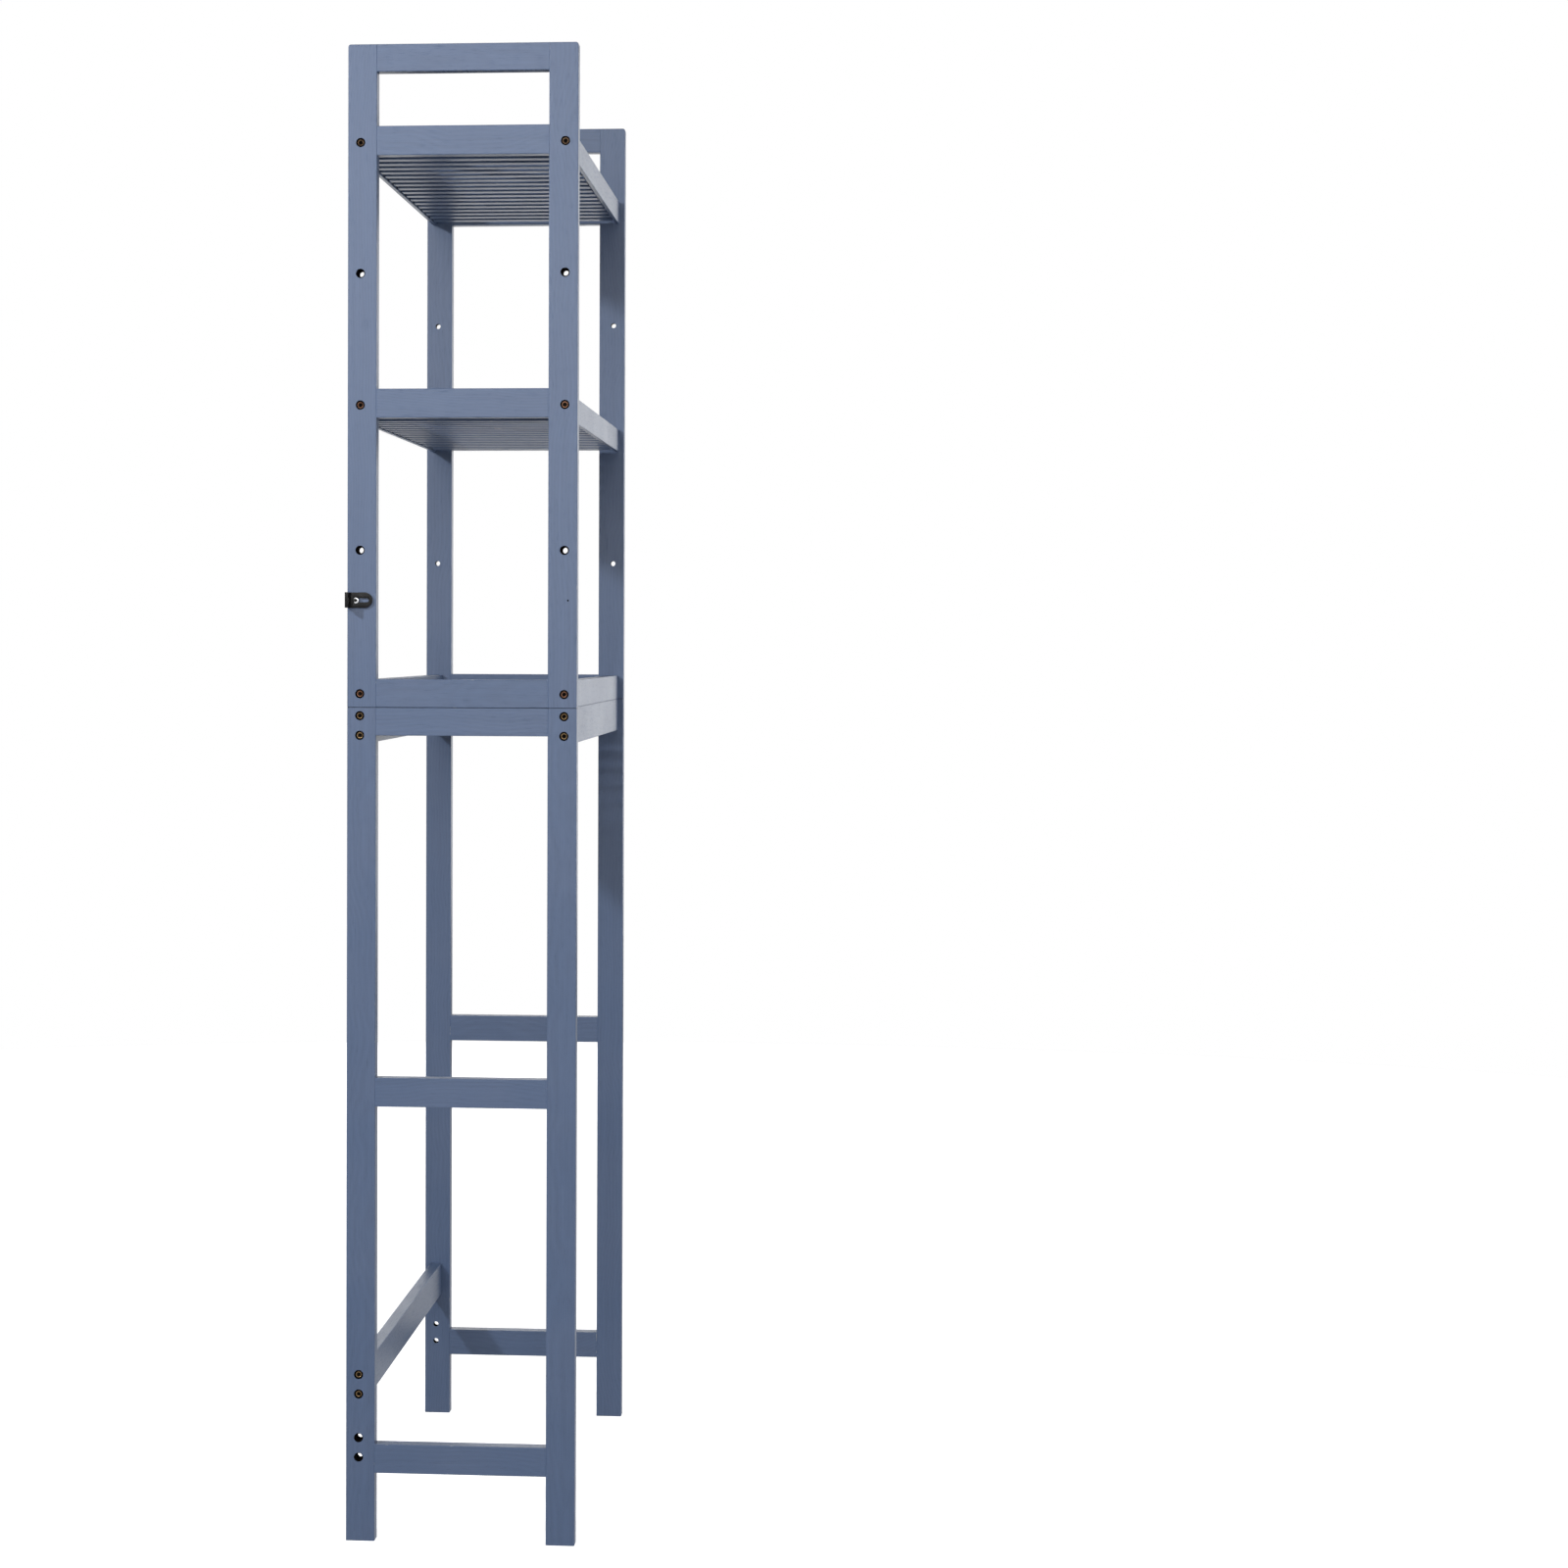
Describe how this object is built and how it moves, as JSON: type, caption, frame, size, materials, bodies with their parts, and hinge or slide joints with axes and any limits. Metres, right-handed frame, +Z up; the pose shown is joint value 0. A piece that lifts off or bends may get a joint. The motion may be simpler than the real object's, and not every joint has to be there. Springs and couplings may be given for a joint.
{
  "type": "over the toilet storage rack",
  "caption": "Tall narrow painted wood rack that stands astride a toilet: open slatted shelves above, open legs below, bolted rails and angle anchors for the wall.",
  "frame": {"origin": "middle of the footprint, on the floor", "axes": "+Z up; +Y towards the wall, so the front faces -Y; X along the width, left side frame at -X"},
  "size_m": [0.686, 0.254, 1.65],
  "materials": {
    "painted_wood": "satin blue-grey paint over fine grain",
    "bare_wood": "raw glued beech dowel",
    "bronze_bolt": "antique bronze plate",
    "zinc_insert": "zinc plate",
    "zinc_screw": "bright zinc plate",
    "black_plastic": "moulded, fine texture"
  },
  "bodies": {
    "root": {"apron_bolts": "bronze_bolt", "apron_inserts": "zinc_insert", "back_apron": "painted_wood", "back_stretcher": "painted_wood", "bottom_shelf_back_rail": "painted_wood", "bottom_shelf_bolts": "bronze_bolt", "bottom_shelf_front_rail": "painted_wood", "bottom_shelf_inserts": "zinc_insert", "bottom_shelf_slats": "painted_wood", "frame_joining_pins": "zinc_insert", "front_apron": "painted_wood", "left_anchor_screw": "zinc_screw", "left_wall_anchor": "black_plastic", "lower_left_back_post": "painted_wood", "lower_left_bottom_end_rail": "painted_wood", "lower_left_frame_dowels": "bare_wood", "lower_left_front_post": "painted_wood", "lower_left_middle_end_rail": "painted_wood", "lower_left_top_end_rail": "painted_wood", "lower_right_back_post": "painted_wood", "lower_right_bottom_end_rail": "painted_wood", "lower_right_frame_dowels": "bare_wood", "lower_right_front_post": "painted_wood", "lower_right_middle_end_rail": "painted_wood", "lower_right_top_end_rail": "painted_wood", "middle_shelf_back_rail": "painted_wood", "middle_shelf_bolts": "bronze_bolt", "middle_shelf_front_rail": "painted_wood", "middle_shelf_inserts": "zinc_insert", "middle_shelf_slats": "painted_wood", "right_anchor_screw": "zinc_screw", "right_wall_anchor": "black_plastic", "stretcher_bolts": "bronze_bolt", "stretcher_inserts": "zinc_insert", "top_shelf_back_rail": "painted_wood", "top_shelf_bolts": "bronze_bolt", "top_shelf_front_rail": "painted_wood", "top_shelf_inserts": "zinc_insert", "top_shelf_slats": "painted_wood", "upper_left_back_post": "painted_wood", "upper_left_base_end_rail": "painted_wood", "upper_left_frame_dowels": "bare_wood", "upper_left_front_post": "painted_wood", "upper_left_middle_shelf_end_rail": "painted_wood", "upper_left_top_end_rail": "painted_wood", "upper_left_top_shelf_end_rail": "painted_wood", "upper_right_back_post": "painted_wood", "upper_right_base_end_rail": "painted_wood", "upper_right_frame_dowels": "bare_wood", "upper_right_front_post": "painted_wood", "upper_right_middle_shelf_end_rail": "painted_wood", "upper_right_top_end_rail": "painted_wood", "upper_right_top_shelf_end_rail": "painted_wood"}
  },
  "joints": []
}
